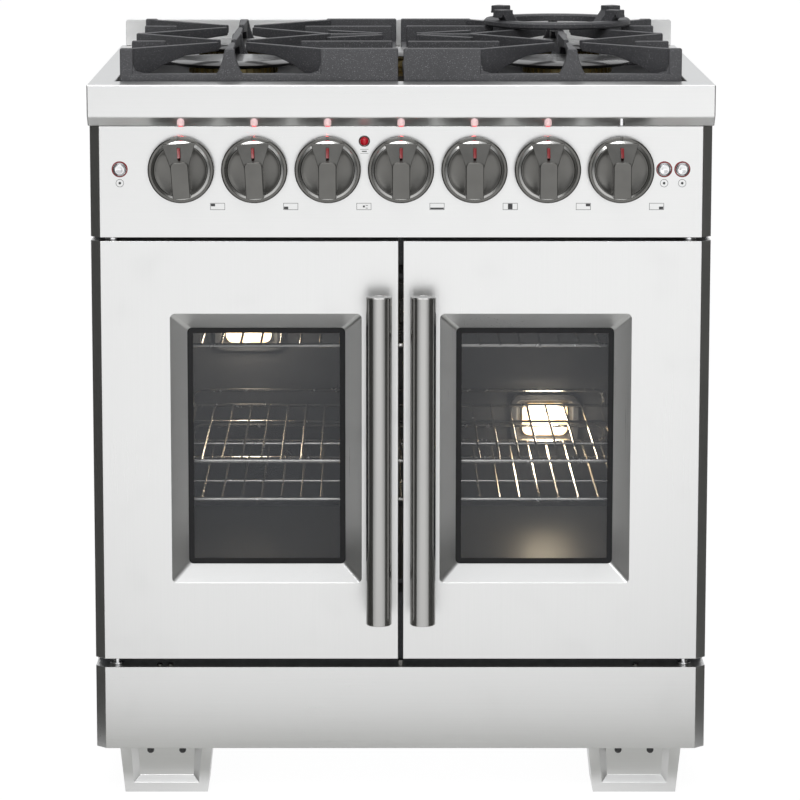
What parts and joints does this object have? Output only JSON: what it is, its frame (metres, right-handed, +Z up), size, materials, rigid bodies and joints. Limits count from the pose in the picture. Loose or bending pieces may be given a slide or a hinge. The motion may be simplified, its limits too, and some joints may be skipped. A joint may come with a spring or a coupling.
{
  "type": "freestanding gas range",
  "caption": "Freestanding gas range with French oven doors, twin cast-iron grates, sealed burners, a wok ring and a row of push-to-turn knobs.",
  "frame": {"origin": "on the floor, under the middle of the object's box", "axes": "+Z up, +X to the right seen from the front, the front faces -Y"},
  "size_m": [0.762, 0.6984, 0.9496],
  "materials": {
    "brushed_steel": "satin brushed, horizontal grain",
    "dark_steel": "gunmetal satin with bright rims",
    "polished_chrome": "polished",
    "chrome_wire": "bright drawn wire",
    "cast_iron": "speckled satin enamel on cast iron",
    "black_enamel": "satin black enamel",
    "oven_enamel": "glossy vitreous enamel with fine flecks",
    "burner_brass": "machined, slightly heat tinted",
    "valve_brass": "turned",
    "zinc_sheet": "galvanised sheet",
    "door_glass": "clear heat-reflecting pane",
    "lamp_glass": "lit halogen lens",
    "red_jewel": "clear red lens",
    "black_rubber": "matt"
  },
  "bodies": {
    "root": {"back_riser": "brushed_steel", "base_pan": "zinc_sheet", "centre_burner_cap": "black_enamel", "centre_burner_head": "burner_brass", "control_panel": "brushed_steel", "cooktop": "brushed_steel", "front_left_burner_cap": "black_enamel", "front_left_burner_head": "burner_brass", "front_left_leg": "brushed_steel", "front_right_burner_cap": "black_enamel", "front_right_burner_head": "burner_brass", "front_right_leg": "brushed_steel", "gas_inlet": "valve_brass", "indicator_jewel": "red_jewel", "kick_panel": "brushed_steel", "left_side_panel": "brushed_steel", "oven_face_frame": "oven_enamel", "oven_gasket": "black_rubber", "oven_lamp_lens": "lamp_glass", "oven_liner": "oven_enamel", "power_gland": "black_rubber", "rear_left_burner_cap": "black_enamel", "rear_left_burner_head": "burner_brass", "rear_left_leg": "zinc_sheet", "rear_panel": "zinc_sheet", "rear_right_burner_cap": "black_enamel", "rear_right_burner_head": "burner_brass", "rear_right_leg": "zinc_sheet", "right_side_panel": "brushed_steel"},
    "left_door": {"left_door_skin": "brushed_steel", "left_door_glass": "door_glass", "left_door_inner_panel": "oven_enamel", "left_door_handle": "dark_steel"},
    "left_grate_lift": {"left_grate": "cast_iron"},
    "right_door": {"right_door_skin": "brushed_steel", "right_door_glass": "door_glass", "right_door_inner_panel": "oven_enamel", "right_door_handle": "dark_steel"},
    "right_grate_lift": {"right_grate": "cast_iron"},
    "wok_ring_lift": {"wok_ring": "cast_iron"},
    "lower_rack_slide": {"lower_rack": "chrome_wire"},
    "middle_rack_slide": {"middle_rack": "chrome_wire"},
    "upper_rack_slide": {"upper_rack": "chrome_wire"},
    "rear_left_valve": {"rear_left_stem": "valve_brass"},
    "rear_left_control": {"rear_left_knob": "dark_steel"},
    "front_left_valve": {"front_left_stem": "valve_brass"},
    "front_left_control": {"front_left_knob": "dark_steel"},
    "thermostat_valve": {"thermostat_stem": "valve_brass"},
    "thermostat_control": {"thermostat_knob": "dark_steel"},
    "oven_mode_control": {"oven_mode_knob": "dark_steel", "oven_mode_stem": "valve_brass"},
    "centre_valve": {"centre_stem": "valve_brass"},
    "centre_control": {"centre_knob": "dark_steel"},
    "rear_right_valve": {"rear_right_stem": "valve_brass"},
    "rear_right_control": {"rear_right_knob": "dark_steel"},
    "front_right_valve": {"front_right_stem": "valve_brass"},
    "front_right_control": {"front_right_knob": "dark_steel"},
    "lamp_button_push": {"lamp_button": "polished_chrome"},
    "fan_button_push": {"fan_button": "polished_chrome"},
    "ignition_button_push": {"ignition_button": "polished_chrome"}
  },
  "joints": [
    {"name": "left_door_hinge", "type": "hinge", "parent": "root", "child": "left_door", "pos_m": [-0.3535, -0.2708, 0.433], "axis": [0, 0, -1], "range_deg": [0, 110]},
    {"name": "right_door_hinge", "type": "hinge", "parent": "root", "child": "right_door", "pos_m": [0.3535, -0.2708, 0.433], "axis": [0, 0, 1], "range_deg": [0, 110]},
    {"name": "lower_rack_pull", "type": "slide", "parent": "root", "child": "lower_rack_slide", "axis": [0, -1, 0], "range_m": [0, 0.026]},
    {"name": "middle_rack_pull", "type": "slide", "parent": "root", "child": "middle_rack_slide", "axis": [0, -1, 0], "range_m": [0, 0.026]},
    {"name": "upper_rack_pull", "type": "slide", "parent": "root", "child": "upper_rack_slide", "axis": [0, -1, 0], "range_m": [0, 0.026]},
    {"name": "left_grate_raise", "type": "slide", "parent": "root", "child": "left_grate_lift", "axis": [0, 0, 1], "range_m": [0, 0.15]},
    {"name": "right_grate_raise", "type": "slide", "parent": "root", "child": "right_grate_lift", "axis": [0, 0, 1], "range_m": [0, 0.15]},
    {"name": "wok_ring_raise", "type": "slide", "parent": "right_grate_lift", "child": "wok_ring_lift", "axis": [0, 0, 1], "range_m": [0, 0.1]},
    {"name": "rear_left_push", "type": "slide", "parent": "root", "child": "rear_left_valve", "axis": [0, 1, 0], "range_m": [0, 0.003], "stiffness_N_per_m": 900},
    {"name": "rear_left_turn", "type": "hinge", "parent": "rear_left_valve", "child": "rear_left_control", "pos_m": [-0.2676, -0.2948, 0.7826], "axis": [0, -1, 0], "range_deg": [0, 210]},
    {"name": "front_left_push", "type": "slide", "parent": "root", "child": "front_left_valve", "axis": [0, 1, 0], "range_m": [0, 0.003], "stiffness_N_per_m": 900},
    {"name": "front_left_turn", "type": "hinge", "parent": "front_left_valve", "child": "front_left_control", "pos_m": [-0.1784, -0.2948, 0.7826], "axis": [0, -1, 0], "range_deg": [0, 210]},
    {"name": "thermostat_push", "type": "slide", "parent": "root", "child": "thermostat_valve", "axis": [0, 1, 0], "range_m": [0, 0.003], "stiffness_N_per_m": 900},
    {"name": "thermostat_turn", "type": "hinge", "parent": "thermostat_valve", "child": "thermostat_control", "pos_m": [-0.0892, -0.2948, 0.7826], "axis": [0, -1, 0], "range_deg": [0, 300]},
    {"name": "oven_mode_turn", "type": "hinge", "parent": "root", "child": "oven_mode_control", "pos_m": [0, -0.2948, 0.7826], "axis": [0, -1, 0], "range_deg": [0, 270]},
    {"name": "centre_push", "type": "slide", "parent": "root", "child": "centre_valve", "axis": [0, 1, 0], "range_m": [0, 0.003], "stiffness_N_per_m": 900},
    {"name": "centre_turn", "type": "hinge", "parent": "centre_valve", "child": "centre_control", "pos_m": [0.0892, -0.2948, 0.7826], "axis": [0, -1, 0], "range_deg": [0, 210]},
    {"name": "rear_right_push", "type": "slide", "parent": "root", "child": "rear_right_valve", "axis": [0, 1, 0], "range_m": [0, 0.003], "stiffness_N_per_m": 900},
    {"name": "rear_right_turn", "type": "hinge", "parent": "rear_right_valve", "child": "rear_right_control", "pos_m": [0.1784, -0.2948, 0.7826], "axis": [0, -1, 0], "range_deg": [0, 210]},
    {"name": "front_right_push", "type": "slide", "parent": "root", "child": "front_right_valve", "axis": [0, 1, 0], "range_m": [0, 0.003], "stiffness_N_per_m": 900},
    {"name": "front_right_turn", "type": "hinge", "parent": "front_right_valve", "child": "front_right_control", "pos_m": [0.2676, -0.2948, 0.7826], "axis": [0, -1, 0], "range_deg": [0, 210]},
    {"name": "lamp_button_press", "type": "slide", "parent": "root", "child": "lamp_button_push", "axis": [0, 1, 0], "range_m": [0, 0.0025], "stiffness_N_per_m": 600},
    {"name": "fan_button_press", "type": "slide", "parent": "root", "child": "fan_button_push", "axis": [0, 1, 0], "range_m": [0, 0.0025], "stiffness_N_per_m": 600},
    {"name": "ignition_button_press", "type": "slide", "parent": "root", "child": "ignition_button_push", "axis": [0, 1, 0], "range_m": [0, 0.0025], "stiffness_N_per_m": 600}
  ]
}
